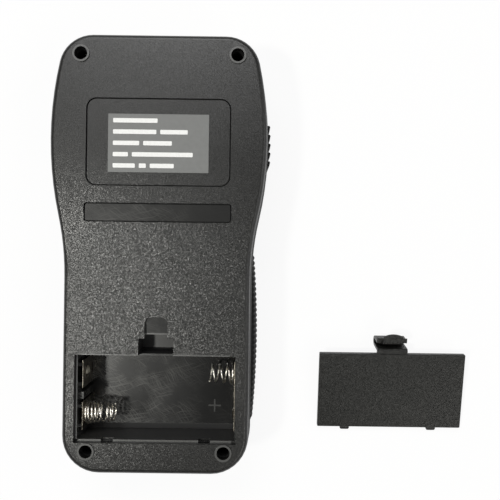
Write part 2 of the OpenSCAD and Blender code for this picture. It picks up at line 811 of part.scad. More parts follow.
module display_glass() {
    color("#a9b59a")
    slab(view_w + 4, view_l + 5, 0.5, front_wall, front_wall + glass_t, display_y);
}

module display_backlight() {
    color("#e8e8e2")
    slab(view_w, view_l - 2, 0.5, front_wall + glass_t, board_z, display_y);
}

module display_strips() {
    color("#b9b4ac")
    for (m = [-1, 1]) {
        slab(view_w, 2.4, 0.2, front_wall + glass_t, board_z, display_y + m * (view_l / 2 + 0.8));
    }
}

module main_board() {
    color("#1f5a3a")
    difference() {
        intersection() {
            translate([0, 0, board_z])
                linear_extrude(board_t)
                    polygon(plan(wall + board_gap));
            box([-case_w, board_foot, board_z - 1], [case_w, board_top, board_back + 1]);
        }
        for (p = posts) {
            translate([p.x, p.y, board_z - 1])
                cylinder(d = board_screw_d + 2 * plunger_play, h = board_t + 2, $fn = 48);
        }
    }
}

// Chip on the back of the board, sized by the largest one and placed by the board and the case.
module chip(w, l, h, x, y) {
    chip_back = board_back + chip_h * h;
    slab(chip_w * w, chip_w * l, chip_w * 0.03, board_back, chip_back, board_top * y, case_w * x);
}

module board_chips() {
    color("#1c1c1e") {
        chip(1, 1, 1, -0.12, 0.36);
        chip(0.7, 0.54, 1.15, 0.13, 0.39);
        chip(0.57, 0.36, 1.15, 0.16, 0.13);
        chip(0.64, 0.64, 0.86, 0, 0.75);
        chip(0.5, 0.29, 1.07, -0.18, -0.13);
        chip(0.79, 0.31, 1.29, -0.05, 0.03);
    }
}

module board_screws() {
    color("#aeb0b2")
    for (p = posts) {
        translate([p.x, p.y, board_back])
            cylinder(d = board_screw_d + 1.8, h = 1.3, $fn = 48);
        translate([p.x, p.y, 3])
            cylinder(d = board_screw_d, h = board_back - 3 + eps, $fn = 48);
    }
}

module key_switches() {
    color("#26272a")
    for (k = keys) {
        difference() {
            slab(switch_w, switch_w, 0.4, switch_z, board_z, k.y, k.x);
            translate([k.x, k.y, switch_z - 1])
                cylinder(d = plunger_d + 2 * plunger_play, h = 1 + plunger_in + key_travel, $fn = 48);
        }
    }
}

module key_cap(i) {
    w = key_w;
    l = key_l;
    color("#2b2c2e")
    translate([keys[i].x, keys[i].y, 0]) {
        loft([level(rounded(w - 1.2, l - 1.2, 1.6), setback),
            level(rounded(w - 0.4, l - 0.4, 1.9), setback + 0.25),
            level(rounded(w, l, 2), setback + 0.7), level(rounded(w, l, 2), front_wall + eps)]);
        slab(w + 1.4, l + 1.4, 2, front_wall, flange_z);
    }
}

module key_plunger(i) {
    color("#d8d4c8")
    translate([keys[i].x, keys[i].y, flange_z])
        cylinder(d = plunger_d, h = switch_z - flange_z + plunger_in, $fn = 48);
}

module key_power() {
    key_cap(0);
}

module key_light() {
    key_cap(1);
}

module key_up() {
    key_cap(2);
}

module key_mode() {
    key_cap(3);
}

module key_zero() {
    key_cap(4);
}

module key_down() {
    key_cap(5);
}

module plunger_power() {
    key_plunger(0);
}

module plunger_light() {
    key_plunger(1);
}

module plunger_up() {
    key_plunger(2);
}

module plunger_mode() {
    key_plunger(3);
}

module plunger_zero() {
    key_plunger(4);
}

module plunger_down() {
    key_plunger(5);
}

module zero_block() {
    color("#b8b9ba")
    translate([0, zero_y, setback])
        cylinder(d = zero_d, h = zero_t, $fn = 72);
}

// Pins lie on the board, nuts stay clear of the rounded floor of the front shell
nut_low = (socket_d + nut_rim) / 2 * cos(30);
socket_z = max(board_back + pin_d / 2, front_wall + floor_r + nut_low + fit);
socket_tail = collar_l + wall + nut_t + 2;
core_l = socket_tail - socket_bore_l + nut_t / 4;

// Socket turned about its own axis; heights count inwards from the mouth.
module socket(x) {
    color("#c4b58c")
    translate([x, case_l / 2 + collar_l, socket_z])
        rotate([90, 0, 0])
            rotate_extrude($fn = 64)
                polygon([[socket_bore_d / 2, 0], [collar_d / 2 - 0.4, 0], [collar_d / 2, 0.4],
                    [collar_d / 2, collar_l], [socket_d / 2, collar_l], [socket_d / 2, socket_tail],
                    [core_d / 2, socket_tail], [core_d / 2, socket_bore_l],
                    [socket_bore_d / 2, socket_bore_l]]);
}

module probe_socket_left() {
    socket(-socket_x);
}

module probe_socket_right() {
    socket(socket_x);
}

module socket_nuts() {
    color("#b9a878")
    for (m = [-1, 1]) {
        translate([m * socket_x, case_l / 2 - wall, socket_z])
            rotate([90, 0, 0])
                difference() {
                    cylinder(d = socket_d + nut_rim, h = nut_t, $fn = 6);
                    translate([0, 0, -1])
                        cylinder(d = socket_d + 2 * plunger_play, h = nut_t + 2, $fn = 48);
                }
    }
}

module socket_insulators() {
    color("#eeeae0")
    for (m = [-1, 1]) {
        translate([m * socket_x, case_l / 2 + collar_l - socket_bore_l, socket_z])
            rotate([90, 0, 0])
                difference() {
                    cylinder(d = core_d - 2 * core_fit, h = core_l, $fn = 48);
                    translate([0, 0, -1])
                        cylinder(d = pin_d + 2 * core_fit, h = socket_tail + 2, $fn = 32);
                }
    }
}

module socket_pins() {
    color("#d2b25c")
    for (m = [-1, 1]) {
        translate([m * socket_x, case_l / 2 + collar_l - socket_bore_l, socket_z])
            rotate([90, 0, 0])
                cylinder(d = pin_d, h = case_l / 2 + collar_l - socket_bore_l - board_top + 3, $fn = 32);
    }
}

rear_shell();
front_shell();
case_screws();
battery_door();
grip_left();
grip_right();
rating_label();
contact_positive();
contact_negative();
contact_bridge();
spring_negative();
spring_bridge();
display_window();
display_glass();
display_backlight();
display_strips();
main_board();
board_chips();
board_screws();
key_switches();
key_power();
key_light();
key_up();
key_mode();
key_zero();
key_down();
plunger_power();
plunger_light();
plunger_up();
plunger_mode();
plunger_zero();
plunger_down();
zero_block();
probe_socket_left();
probe_socket_right();
socket_nuts();
socket_insulators();
socket_pins();
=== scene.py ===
import json
import math

import bmesh
import bpy
import numpy as np
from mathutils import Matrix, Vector

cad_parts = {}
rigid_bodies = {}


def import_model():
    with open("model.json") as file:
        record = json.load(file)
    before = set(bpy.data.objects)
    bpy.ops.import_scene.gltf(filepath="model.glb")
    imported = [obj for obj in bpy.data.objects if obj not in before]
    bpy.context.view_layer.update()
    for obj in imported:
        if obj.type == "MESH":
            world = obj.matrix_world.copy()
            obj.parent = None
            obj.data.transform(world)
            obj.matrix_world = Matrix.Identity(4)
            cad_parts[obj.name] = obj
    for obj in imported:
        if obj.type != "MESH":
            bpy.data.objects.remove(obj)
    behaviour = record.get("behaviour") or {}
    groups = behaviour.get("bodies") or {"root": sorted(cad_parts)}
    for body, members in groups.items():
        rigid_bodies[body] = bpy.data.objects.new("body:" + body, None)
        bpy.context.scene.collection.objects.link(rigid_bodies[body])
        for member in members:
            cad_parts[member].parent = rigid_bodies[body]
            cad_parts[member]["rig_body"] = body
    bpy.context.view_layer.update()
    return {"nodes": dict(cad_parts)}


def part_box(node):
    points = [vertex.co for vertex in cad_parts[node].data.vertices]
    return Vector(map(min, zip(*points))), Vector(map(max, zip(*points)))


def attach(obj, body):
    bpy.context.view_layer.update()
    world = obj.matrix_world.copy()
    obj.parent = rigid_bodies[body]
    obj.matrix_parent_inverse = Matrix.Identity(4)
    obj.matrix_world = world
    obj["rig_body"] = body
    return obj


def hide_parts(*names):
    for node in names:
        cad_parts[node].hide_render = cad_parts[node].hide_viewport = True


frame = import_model()
nodes = frame["nodes"]


# Rear shell of the case: one injection moulding in dark grey ABS with a spark-eroded grain outside. Grooves
# run round the label panel and the polished strip. Painted highlights lie on the rim, sill and + mark of the
# bay, on the lip of the scoop and on the screw rings; painted shade lies in the grooves, the latch pit, the
# bay and on the flanks; the well floor and the right flank are painted lighter as painted light. Four screws
# from the back hold it to the front shell.
MM = 0.001
RING_TALL = 0.5 * MM
REAR_LOW, REAR_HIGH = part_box("rear_shell")
BACK_Z = REAR_HIGH.z - RING_TALL
BAY_END = REAR_LOW.y + 11.95 * MM
BAY_TOP = -34.6 * MM
FAR = 0.2

# Boxes of the shell that have a finish of their own or painted light and shade, each as its low and high
# corner
FLANK_TOP = (FAR, FAR, BACK_Z - 2.4 * MM)
FLANK_BOX = ((-FAR, -FAR, -FAR), FLANK_TOP)
RIGHT_BOX = ((29.5 * MM, -FAR, -FAR), FLANK_TOP)
RING_BOX = ((-FAR, -FAR, BACK_Z + 0.1 * MM), (FAR, FAR, FAR))
GROOVE_BOX = ((-27 * MM, 8 * MM, BACK_Z - 1.3 * MM), (27 * MM, 64 * MM, BACK_Z - 0.46 * MM))
RIM_BOX = (
    (-25.4 * MM, BAY_TOP - 0.12 * MM, BACK_Z - 0.3 * MM),
    (25.4 * MM, BAY_TOP + 0.28 * MM, BACK_Z + 0.02 * MM),
)
STRIP_BOX = ((-25.4 * MM, 10.9 * MM, BACK_Z - 0.46 * MM), (25.4 * MM, 17.7 * MM, BACK_Z - 0.3 * MM))
SCOOP_BOX = ((-6.4 * MM, -35.0 * MM, BACK_Z - 12 * MM), (6.4 * MM, -21.4 * MM, BACK_Z - 0.15 * MM))
WELL_BOX = ((-6.0 * MM, -34.4 * MM, 21.6 * MM), (6.0 * MM, -25.0 * MM, 22.3 * MM))
PIT_BOX = ((-6.05 * MM, -34.55 * MM, 15.0 * MM), (6.05 * MM, -33.2 * MM, BACK_Z - 2.6 * MM))
LIP_BOX = ((-3.9 * MM, -27.62 * MM, BACK_Z - 1.75 * MM), (3.9 * MM, -27.15 * MM, BACK_Z - 1.2 * MM))
BAY_BOX = ((-28.2 * MM, -64.9 * MM, 12.0 * MM), (28.2 * MM, -34.5 * MM, BACK_Z - 2.35 * MM))
WALL_BOX = ((-27.3 * MM, BAY_END - 0.05 * MM, 13.6 * MM), (27.3 * MM, BAY_END + 1.6 * MM, BACK_Z - 2.3 * MM))
SILL_BOX = (
    (-26.2 * MM, BAY_END - 1.2 * MM, BACK_Z - 2.3 * MM),
    (26.2 * MM, BAY_END - 0.02 * MM, BACK_Z - 1.2 * MM),
)
SIDE_BOX = ((-27.55 * MM, BAY_END, BACK_Z - 2.45 * MM), (-27.1 * MM, BAY_TOP, BACK_Z - 2.1 * MM))
MARK_BOX = ((16.5 * MM, -59.0 * MM, 13.95 * MM), (22.5 * MM, -52.5 * MM, 14.5 * MM))

# Colours of the shell and of those boxes, most of the box colours being painted light and shade
CASE_GREY = (0.006, 0.006, 0.0056, 1)
CASE_FLECK = (0.027, 0.027, 0.0256, 1)
# The flank colour is painted shade: the flanks are darker than the case grey. The right flank colour is
# painted light: that side is made lighter than the left.
FLANK_PAINTED_SHADE = (0.003, 0.003, 0.003, 1)
RIGHT_FLANK_PAINTED_LIGHT = (0.012, 0.012, 0.0115, 1)
# The ring colour is a painted highlight on the tops of the raised screw rings.
RING_PAINTED_HIGHLIGHT = (0.075, 0.075, 0.073, 1)
# The groove colour is painted shade: near black in the floors of the grooves and in the latch pit.
PAINTED_SHADE_BLACK = (0.002, 0.002, 0.002, 1)
STRIP_GREY = (0.014, 0.014, 0.0136, 1)
# The well colour is painted light: the floor of the latch well is made paler where light falls into it.
WELL_PAINTED_LIGHT = (0.035, 0.035, 0.034, 1)
# The lip colour is a painted highlight along the upper rim of the bay and the lip of the scoop.
PAINTED_HIGHLIGHT_GREY = (0.11, 0.11, 0.107, 1)
# The bay colour is painted shade: darker than the case grey inside the deep battery bay.
BAY_PAINTED_SHADE = (0.004, 0.004, 0.0037, 1)
WALL_GREY = (0.022, 0.022, 0.0213, 1)
# The sill colour is a painted highlight on the sill at the foot of the bay.
SILL_PAINTED_HIGHLIGHT = (0.085, 0.085, 0.082, 1)
# The side colour is a painted highlight on the inner edge of the left ledge of the bay.
SIDE_PAINTED_HIGHLIGHT = (0.2, 0.2, 0.195, 1)
# The mark colour is a painted highlight on the raised + mark in the bay.
MARK_PAINTED_HIGHLIGHT = (0.03, 0.03, 0.0288, 1)
SCRATCH_GREY = (0.075, 0.075, 0.071, 1)

# Share of the grain that is left towards the probe end and at the foot, where the mould is smoother
UPPER_GRAIN = 0.28
LOWER_GRAIN = 0.55
CASE_GRAIN = 5000.0


def fill(tree, made, sockets):
    """Sets a node's inputs: a value goes on its socket, and another node's output is linked to it."""
    for key, value in sockets.items():
        if isinstance(value, bpy.types.NodeSocket):
            tree.links.new(value, made.inputs[key])
        else:
            made.inputs[key].default_value = value


def put(tree, kind, sockets, **settings):
    """Adds a shader node; sockets maps an input's name or number to a value or to another node's output."""
    made = tree.nodes.new("ShaderNode" + kind)
    for key, value in settings.items():
        setattr(made, key, value)
    fill(tree, made, sockets)
    return made


def use_group(tree, group, sockets):
    """Places a shader group in a material and sets its inputs."""
    made = tree.nodes.new("ShaderNodeGroup")
    made.node_tree = group
    fill(tree, made, sockets)
    return made.outputs


def maths(tree, operation, first, second):
    """Number worked out from two numbers by a Math node."""
    return put(tree, "Math", {0: first, 1: second}, operation=operation).outputs[0]


def ramp(tree, value, start, end, low=0.0, high=1.0):
    """Number that goes from low to high while value goes from start to end, and stays level outside."""
    sockets = {"Value": value, "From Min": start, "From Max": end, "To Min": low, "To Max": high}
    return put(tree, "MapRange", sockets).outputs["Result"]


def noise(tree, place, scale, detail):
    """Value of fractal noise at a place."""
    return put(tree, "TexNoise", {"Vector": place, "Scale": scale, "Detail": detail}).outputs["Fac"]


def mix_colour(tree, factor, first, second):
    """Colour between first and second by factor."""
    return put(tree, "Mix", {0: factor, 6: first, 7: second}, data_type="RGBA").outputs[2]


def mix_value(tree, factor, first, second):
    """Number between first and second by factor."""
    return put(tree, "Mix", {0: factor, 2: first, 3: second}).outputs[0]


def new_group(name, inputs, outputs):
    """Empty shader group with named sockets, and its input and output nodes."""
    group = bpy.data.node_groups.new(name, "ShaderNodeTree")
    for label, kind in inputs:
        group.interface.new_socket(label, in_out="INPUT", socket_type="NodeSocket" + kind)
    for label, kind in outputs:
        group.interface.new_socket(label, in_out="OUTPUT", socket_type="NodeSocket" + kind)
    return group, group.nodes.new("NodeGroupInput").outputs, group.nodes.new("NodeGroupOutput").inputs


def make_grain_group():
    """Spark-eroded grain: Voronoi cells with a random colour each, pale flecks on some, slow noise drift."""
    group, given, result = new_group(
        "moulded_grain",
        [("Place", "Vector"), ("Grain", "Float")],
        [("Cell", "Color"), ("Fleck", "Float"), ("Drift", "Float")],
    )
    cells = put(group, "TexVoronoi", {"Vector": given["Place"], "Scale": given["Grain"]}).outputs["Color"]
    third = put(group, "SeparateXYZ", {0: cells}).outputs["Z"]
    group.links.new(cells, result["Cell"])
    group.links.new(ramp(group, third, 0.35, 1.0), result["Fleck"])
    group.links.new(noise(group, given["Place"], 26.0, 2.0), result["Drift"])
    return group


def make_pocket_group():
    """Mask that is 1 inside the box from Low to High and 0 outside it, by comparing each coordinate."""
    group, given, result = new_group(
        "pocket", [("Place", "Vector"), ("Low", "Vector"), ("High", "Vector")], [("Mask", "Float")]
    )
    place = put(group, "SeparateXYZ", {0: given["Place"]}).outputs
    low = put(group, "SeparateXYZ", {0: given["Low"]}).outputs
    high = put(group, "SeparateXYZ", {0: given["High"]}).outputs
    mask = 1.0
    for axis in range(3):
        above = maths(group, "GREATER_THAN", place[axis], low[axis])
        below = maths(group, "LESS_THAN", place[axis], high[axis])
        mask = maths(group, "MULTIPLY", maths(group, "MULTIPLY", above, below), mask)
    group.links.new(mask, result["Mask"])
    return group


def make_scuff_and_sheen_group():
    """Scuffs and sheen: wide pale smears of noise, a painted sheen, and bent streaks of noise drawn out three
    ways for scratches; both fade towards +X as a painted fall-off of the light.
    """
    group, given, result = new_group(
        "scuffs_and_sheen", [("Place", "Vector")], [("SheenSmear", "Float"), ("Scratch", "Float")]
    )
    wide = ramp(group, noise(group, given["Place"], 60.0, 2.0), 0.36, 0.68)
    kept = ramp(group, noise(group, given["Place"], 130.0, 2.0), 0.38, 0.58)
    slow = put(group, "TexNoise", {"Vector": given["Place"], "Scale": 60.0}).outputs["Color"]
    bent = put(
        group,
        "VectorMath",
        {0: slow, 1: (7 * MM, 7 * MM, 0.0), 2: given["Place"]},
        operation="MULTIPLY_ADD",
    ).outputs[0]
    thin = 0.0
    for turn in (0.5, -0.3, 0.9):
        turned = put(group, "Mapping", {"Vector": bent, "Rotation": (0.0, 0.0, turn)}).outputs[0]
        drawn = put(group, "Mapping", {"Vector": turned, "Scale": (90.0, 3900.0, 700.0)}).outputs[0]
        streak = ramp(group, noise(group, drawn, 1.0, 1.0), 0.54, 0.78)
        thin = maths(group, "MAXIMUM", streak, thin)
    across = put(group, "SeparateXYZ", {0: given["Place"]}).outputs["X"]
    # The fade towards +X is painted light: smears and scratches grow faint away from where the lamp's
    # reflection falls.
    light_falloff = ramp(group, across, -4 * MM, 16 * MM, 1.0, 0.12)
    group.links.new(maths(group, "MULTIPLY", wide, light_falloff), result["SheenSmear"])
    group.links.new(maths(group, "MULTIPLY", thin, maths(group, "MULTIPLY", kept, light_falloff)), result["Scratch"])
    return group


moulded_grain = make_grain_group()
pocket = make_pocket_group()
scuffs_and_sheen = make_scuff_and_sheen_group()


def new_material(name):
    """Material with a Principled shader; gives the material, its tree, the shader and Object coordinates."""
    material = bpy.data.materials.new(name)
    material.use_nodes = True
    tree = material.node_tree
    place = put(tree, "TexCoord", {}).outputs["Object"]
    return material, tree, tree.nodes["Principled BSDF"], place


def moulded_plastic(name, colour, fleck, grain, depth, roughness, pockets=(), shine=0.5):
    """Grained plastic: each grain cell leans the normal by its random colour; each pocket has its own finish
    or painted light.

    A pocket is a box, its colour (in many pockets a painted shade or highlight), its roughness, the share of
    grain it loses and the share of scratches and painted sheen it has.
    """
    material, tree, shader, place = new_material(name)
    grainy = use_group(tree, moulded_grain, {"Place": place, "Grain": grain})
    dark = tuple(0.82 * part for part in colour[:3]) + (1,)
    tone = mix_colour(tree, grainy["Fleck"], colour, fleck)
    tone = mix_colour(tree, maths(tree, "MULTIPLY", grainy["Drift"], 0.25), tone, dark)
    rough = mix_value(tree, grainy["Drift"], roughness - 0.04, roughness + 0.06)
    along = put(tree, "SeparateXYZ", {0: place}).outputs["Y"]
    upper = ramp(tree, along, -3 * MM, 35 * MM, depth, UPPER_GRAIN * depth)
    lower = ramp(tree, along, -66 * MM, -35 * MM, LOWER_GRAIN * depth, depth)
    lean = maths(tree, "MINIMUM", upper, lower)
    marks = use_group(tree, scuffs_and_sheen, {"Place": place})
    for (low, high), inside, gloss, calm, wear_and_sheen in pockets:
        mask = use_group(tree, pocket, {"Place": place, "Low": low, "High": high})["Mask"]
        if wear_and_sheen > 0:
            worn = maths(tree, "MULTIPLY", marks["Scratch"], wear_and_sheen)
            # The smear is a painted sheen: a paler, glossier patch standing in for a reflection of the lamp.
            sheen_smear = maths(tree, "MULTIPLY", marks["SheenSmear"], 0.3 * wear_and_sheen)
            pale = tuple(0.03 + 1.5 * part for part in inside[:3]) + (1,)
            inside = mix_colour(tree, worn, mix_colour(tree, sheen_smear, inside, pale), SCRATCH_GREY)
            gloss = mix_value(tree, sheen_smear, gloss, gloss + 0.08)
        tone = mix_colour(tree, mask, tone, inside)
        rough = mix_value(tree, mask, rough, gloss)
        lean = mix_value(tree, maths(tree, "MULTIPLY", mask, calm), lean, 0.0)
    facing = put(tree, "NewGeometry", {}).outputs["Normal"]
    spread = put(tree, "VectorMath", {0: grainy["Cell"], 1: (0.5, 0.5, 0.5)}, operation="SUBTRACT").outputs[0]
    leaned = put(tree, "VectorMath", {0: spread, 1: lean, 2: facing}, operation="MULTIPLY_ADD").outputs[0]
    facet = put(tree, "VectorMath", {0: leaned}, operation="NORMALIZE").outputs[0]
    tree.links.new(tone, shader.inputs["Base Color"])
    tree.links.new(rough, shader.inputs["Roughness"])
    tree.links.new(facet, shader.inputs["Normal"])
    shader.inputs["Specular IOR Level"].default_value = shine
    return material


MERGE_DISTANCE = 2e-6
FLAT_ANGLE = math.radians(0.5)
SHARP_ANGLE = math.radians(35)


def finished_copy(node, edge, material):
    """Copy of a CAD node: triangles merged into whole faces, then every sharp edge rounded by edge metres."""
    mesh = nodes[node].data.copy()
    mesh.name = node + "_finished"
    shape = bmesh.new()
    shape.from_mesh(mesh)
    bmesh.ops.remove_doubles(shape, verts=shape.verts, dist=MERGE_DISTANCE)
    bmesh.ops.dissolve_limit(shape, angle_limit=FLAT_ANGLE, verts=shape.verts, edges=shape.edges)
    shape.to_mesh(mesh)
    shape.free()
    mesh.polygons.foreach_set("use_smooth", np.ones(len(mesh.polygons), dtype=bool))
    mesh.set_sharp_from_angle(angle=SHARP_ANGLE)
    mesh.materials.clear()
    mesh.materials.append(material)
    piece = bpy.data.objects.new(node + "_finished", mesh)
    bpy.context.scene.collection.objects.link(piece)
    rounding = piece.modifiers.new("edge", "BEVEL")
    rounding.width = edge
    rounding.segments = 2
    rounding.limit_method = "ANGLE"
    rounding.angle_limit = SHARP_ANGLE
    evened = piece.modifiers.new("flat", "WEIGHTED_NORMAL")
    evened.weight = 100
    evened.keep_sharp = True
    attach(piece, nodes[node]["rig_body"])
    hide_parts(node)


case_plastic = moulded_plastic(
    "case_plastic",
    CASE_GREY,
    CASE_FLECK,
    grain=CASE_GRAIN,
    depth=0.31,
    roughness=0.31,
    pockets=[
        (FLANK_BOX, FLANK_PAINTED_SHADE, 1.0, 0.2, 0.0),
        (RIGHT_BOX, RIGHT_FLANK_PAINTED_LIGHT, 0.85, 0.2, 0.0),
        (RING_BOX, RING_PAINTED_HIGHLIGHT, 0.3, 0.9, 0.0),
        (GROOVE_BOX, PAINTED_SHADE_BLACK, 0.8, 0.9, 0.0),
        (RIM_BOX, PAINTED_HIGHLIGHT_GREY, 0.35, 0.6, 0.0),
        (STRIP_BOX, STRIP_GREY, 0.23, 0.95, 0.8),
        (SCOOP_BOX, CASE_GREY, 0.33, 0.8, 0.5),
        (WELL_BOX, WELL_PAINTED_LIGHT, 0.3, 0.8, 1.0),
        (PIT_BOX, PAINTED_SHADE_BLACK, 0.8, 0.9, 0.0),
        (LIP_BOX, PAINTED_HIGHLIGHT_GREY, 0.35, 0.8, 0.0),
        (BAY_BOX, BAY_PAINTED_SHADE, 0.225, 0.97, 1.6),
        (WALL_BOX, WALL_GREY, 0.45, 0.9, 0.0),
        (SILL_BOX, SILL_PAINTED_HIGHLIGHT, 0.35, 0.6, 0.0),
        (SIDE_BOX, SIDE_PAINTED_HIGHLIGHT, 0.4, 0.6, 0.0),
        (MARK_BOX, MARK_PAINTED_HIGHLIGHT, 0.4, 0.9, 0.0),
    ],
)
finished_copy("rear_shell", 0.1 * MM, case_plastic)


# Front shell of the case, the deeper of two mouldings, in the same grained ABS. Five sawtooth finger ribs are
# moulded on each flank, and a tongue round its rim locates the rear shell.
front_plastic = moulded_plastic(
    "front_plastic", CASE_GREY, CASE_FLECK, grain=CASE_GRAIN, depth=0.3, roughness=0.5, shine=0.15
)
finished_copy("front_shell", 0.16 * MM, front_plastic)


# Case screws: four self-tapping steel screws, blackened, with cross recesses in their heads. They sit at the
# bottom of the deep holes in the back and pull the rear shell down on the front shell.
SCRATCH_DEPTH = 0.02 * MM
# Colour of the painted highlight that plain_metal puts in a given box
DIMPLE_HIGHLIGHT_COLOUR = (1.0, 0.95, 0.8, 1)


def plain_metal(name, colour, roughness, scratch, highlight_box=None):
    """Metal with noise drawn out along Y in its tone, roughness and bump; a highlight box is paler and
    duller, a painted highlight.
    """
    material, tree, shader, place = new_material(name)
    drawn = put(tree, "Mapping", {"Vector": place, "Scale": (4000.0, 300.0, 4000.0)}).outputs[0]
    lines = noise(tree, drawn, 1.0, 2.0)
    darker = tuple(0.78 * part for part in colour[:3]) + (1,)
    tone = mix_colour(tree, lines, darker, colour)
    rough = mix_value(tree, lines, roughness - 0.06, roughness + 0.1)
    if highlight_box:
        mask = use_group(tree, pocket, {"Place": place, "Low": highlight_box[0], "High": highlight_box[1]})["Mask"]
        tone = mix_colour(tree, mask, tone, DIMPLE_HIGHLIGHT_COLOUR)
        rough = mix_value(tree, mask, rough, 0.45)
    tree.links.new(tone, shader.inputs["Base Color"])
    tree.links.new(rough, shader.inputs["Roughness"])
    bump = put(tree, "Bump", {"Height": lines, "Strength": scratch, "Distance": SCRATCH_DEPTH})
    tree.links.new(bump.outputs["Normal"], shader.inputs["Normal"])
    shader.inputs["Metallic"].default_value = 1.0
    return material


black_steel = plain_metal("black_steel", (0.10, 0.10, 0.105, 1), 0.42, 0.2)
finished_copy("case_screws", 0.08 * MM, black_steel)


# Rating label: a grey satin film with square corners, stuck in the label recess of the rear shell. Rows of
# plain white bars are printed on it.
LABEL_LOW, LABEL_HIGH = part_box("rating_label")
FILM_DARK = (0.138, 0.141, 0.138, 1)
FILM_PALE = (0.174, 0.177, 0.174, 1)
INK_DARK = (0.72, 0.72, 0.71, 1)
INK_PALE = (0.86, 0.86, 0.85, 1)
PRINT_ROWS = [(15.2,), (14.8, 9.4), (9.0, 9.8), (5.2, 20.8), (7.6, 2.4, 8.2)]
PRINT_MARGIN = 1.7 * MM
PRINT_PITCH = 3.86 * MM
PRINT_HEIGHT = 1.5 * MM
PRINT_GAP = 1.35 * MM
PRINT_ROUND = 0.3 * MM
PRINT_THICK = 0.03 * MM


def skin(name, grids, material, wrap=True):
    """Mesh object from grids of points (rows along, points round): quads between rows, a face on each end."""
    points, faces, first = [], [], 0
    for grid in grids:
        along, around = grid.shape[:2]
        index = first + np.arange(along * around).reshape(along, around)
        ahead = np.roll(index, -1, axis=1) if wrap else index[:, 1:]
        here = index if wrap else index[:, :-1]
        quads = np.stack([here[:-1], ahead[:-1], ahead[1:], here[1:]], axis=-1).reshape(-1, 4)
        faces += quads.tolist()
        if wrap:
            faces += [index[0, ::-1].tolist(), index[-1].tolist()]
        points.append(grid.reshape(-1, 3))
        first += along * around
    mesh = bpy.data.meshes.new(name)
    mesh.from_pydata(np.concatenate(points).tolist(), [], faces)
    mesh.materials.append(material)
    shape = bmesh.new()
    shape.from_mesh(mesh)
    bmesh.ops.recalc_face_normals(shape, faces=shape.faces)
    shape.to_mesh(mesh)
    shape.free()
    piece = bpy.data.objects.new(name, mesh)
    bpy.context.scene.collection.objects.link(piece)
    return piece


def lift(loop, heights):
    """Slab: a flat loop of (x, y) repeated at each height z."""
    flat = np.broadcast_to(loop, (len(heights),) + loop.shape)
    up = np.broadcast_to(np.asarray(heights)[:, None, None], flat.shape[:2] + (1,))
    return np.concatenate([flat, up], axis=2)


def round_bar(x0, x1, y, height, radius, steps=6):
    """Bar outline from x0 to x1 centred on y: four quarter circles of the given radius at its corners."""
    turn = np.repeat(np.arange(4), steps) * np.pi / 2
    angle = turn + np.tile(np.linspace(0, np.pi / 2, steps), 4)
    side = np.repeat([1, -1, -1, 1], steps)
    top = np.repeat([1, 1, -1, -1], steps)
    x = (x0 + x1) / 2 + side * ((x1 - x0) / 2 - radius) + radius * np.cos(angle)
    return np.stack([x, y + top * (height / 2 - radius) + radius * np.sin(angle)], axis=1)


def label_film_material():
    """Satin grey film: soft mottle in tone and roughness."""
    material, tree, shader, place = new_material("label_film")
    mottle = noise(tree, place, 600.0, 3.0)
    tree.links.new(mix_colour(tree, mottle, FILM_DARK, FILM_PALE), shader.inputs["Base Color"])
    tree.links.new(mix_value(tree, mottle, 0.42, 0.55), shader.inputs["Roughness"])
    return material


def print_material():
    """White label ink, a little uneven."""
    material, tree, shader, place = new_material("label_ink")
    patch = noise(tree, place, 1800.0, 2.0)
    tree.links.new(mix_colour(tree, patch, INK_DARK, INK_PALE), shader.inputs["Base Color"])
    shader.inputs["Roughness"].default_value = 0.5
    return material


label_film = label_film_material()
finished_copy("rating_label", 0.04 * MM, label_film)
print_bars = []
for row, words in enumerate(PRINT_ROWS):
    row_y = (LABEL_LOW.y + LABEL_HIGH.y) / 2 + (2 - row) * PRINT_PITCH
    start = LABEL_LOW.x + PRINT_MARGIN
    for word in words:
        bar = round_bar(start, start + word * MM, row_y, PRINT_HEIGHT, PRINT_ROUND)
        print_bars.append(lift(bar, [LABEL_HIGH.z, LABEL_HIGH.z + PRINT_THICK]))
        start += word * MM + PRINT_GAP
label_print = skin("label_print", print_bars, print_material())
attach(label_print, "case")


# Battery contacts: nickel-plated sheet, pressed and pushed into the bay. The bridge joins both cells at the
# right; each positive contact carries a pressed dimple, and the upper left dimple has a painted highlight.
DIMPLE_HIGHLIGHT_BOX = ((-25.7 * MM, -42.6 * MM, 15 * MM), (-25.0 * MM, -38.2 * MM, 29 * MM))
# The sheet's colour is kept darker than bright nickel: painted shade for the contacts down in the bay.
plated_sheet = plain_metal("plated_sheet", (0.38, 0.345, 0.285, 1), 0.26, 0.25, DIMPLE_HIGHLIGHT_BOX)
for sheet_node in ("contact_positive", "contact_negative", "contact_bridge"):
    finished_copy(sheet_node, 0.06 * MM, plated_sheet)


# Contact springs: nickel-plated wire wound in a cone. The left one is squeezed into two packs of turns with a
# gap between, as worn ones are; the right one has one closed turn against the sheet and open turns after.
WIRE = 0.7 * MM
SPRING_BASE = 8.6 * MM
SPRING_TIP = 6.6 * MM
STEPS_PER_TURN = 44
POINTS_ROUND_WIRE = 14
spring_wire = plain_metal("spring_wire", (1.0, 0.96, 0.88, 1), 0.25, 0.1)


